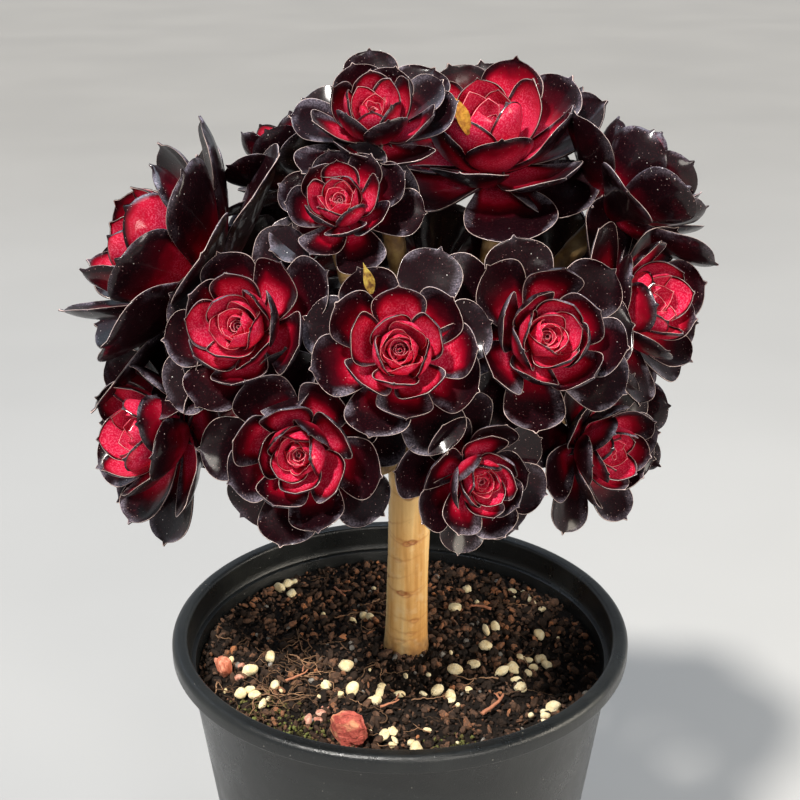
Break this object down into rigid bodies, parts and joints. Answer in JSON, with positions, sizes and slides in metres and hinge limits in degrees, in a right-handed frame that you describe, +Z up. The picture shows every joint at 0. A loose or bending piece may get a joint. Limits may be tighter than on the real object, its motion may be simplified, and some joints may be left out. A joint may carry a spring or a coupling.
{
  "type": "potted aeonium",
  "caption": "Tree-form black rose aeonium: a dome of dark red leaf rosettes on a bare woody stem, in a round black nursery pot with gritty soil.",
  "frame": {"origin": "centre of the pot's flat base, on the surface it stands on", "axes": "+Z up along the stem; -Y is the front, the side seen in the picture; +X to the right seen from the front"},
  "size_m": [0.2931, 0.2553, 0.4887],
  "materials": {
    "pot": "satin moulded black polypropylene with fine dust",
    "soil": "loose dark bark and peat crumbs with white grains",
    "bark": "pale tan bark with ring ridges and red-brown leaf scars",
    "green_wood": "olive-brown young wood with leaf scars",
    "leaf": "glossy succulent leaf, crimson at the heart and near black outside, with a fine pale edge",
    "lava": "porous red lava",
    "bark_chip": "rough red-brown bark",
    "perlite": "chalky white grain"
  },
  "bodies": {
    "root": {"pot": "pot", "soil": "soil", "main_stem": "bark", "branch_01": "green_wood", "branch_02": "green_wood", "branch_03": "green_wood", "branch_04": "green_wood", "branch_05": "green_wood", "branch_06": "green_wood", "branch_07": "green_wood", "branch_08": "green_wood", "branch_09": "green_wood", "branch_10": "green_wood", "branch_11": "green_wood", "branch_12": "green_wood", "branch_13": "green_wood", "branch_14": "green_wood", "branch_15": "green_wood", "branch_16": "green_wood", "branch_17": "green_wood", "branch_18": "green_wood", "branch_19": "green_wood", "branch_20": "green_wood", "branch_21": "green_wood", "branch_22": "green_wood", "branch_23": "green_wood", "branch_24": "green_wood", "rosette_01": "leaf", "rosette_02": "leaf", "rosette_03": "leaf", "rosette_04": "leaf", "rosette_05": "leaf", "rosette_06": "leaf", "rosette_07": "leaf", "rosette_08": "leaf", "rosette_09": "leaf", "rosette_10": "leaf", "rosette_11": "leaf", "rosette_12": "leaf", "rosette_13": "leaf", "rosette_14": "leaf", "rosette_15": "leaf", "rosette_16": "leaf", "rosette_17": "leaf", "rosette_18": "leaf", "rosette_19": "leaf", "rosette_20": "leaf", "rosette_21": "leaf", "rosette_22": "leaf", "rosette_23": "leaf", "rosette_24": "leaf", "lava_rock": "lava", "bark_chip": "bark_chip", "perlite_01": "perlite", "perlite_02": "perlite", "perlite_03": "perlite", "perlite_04": "perlite", "perlite_05": "perlite", "perlite_06": "perlite", "perlite_07": "perlite"}
  },
  "joints": []
}
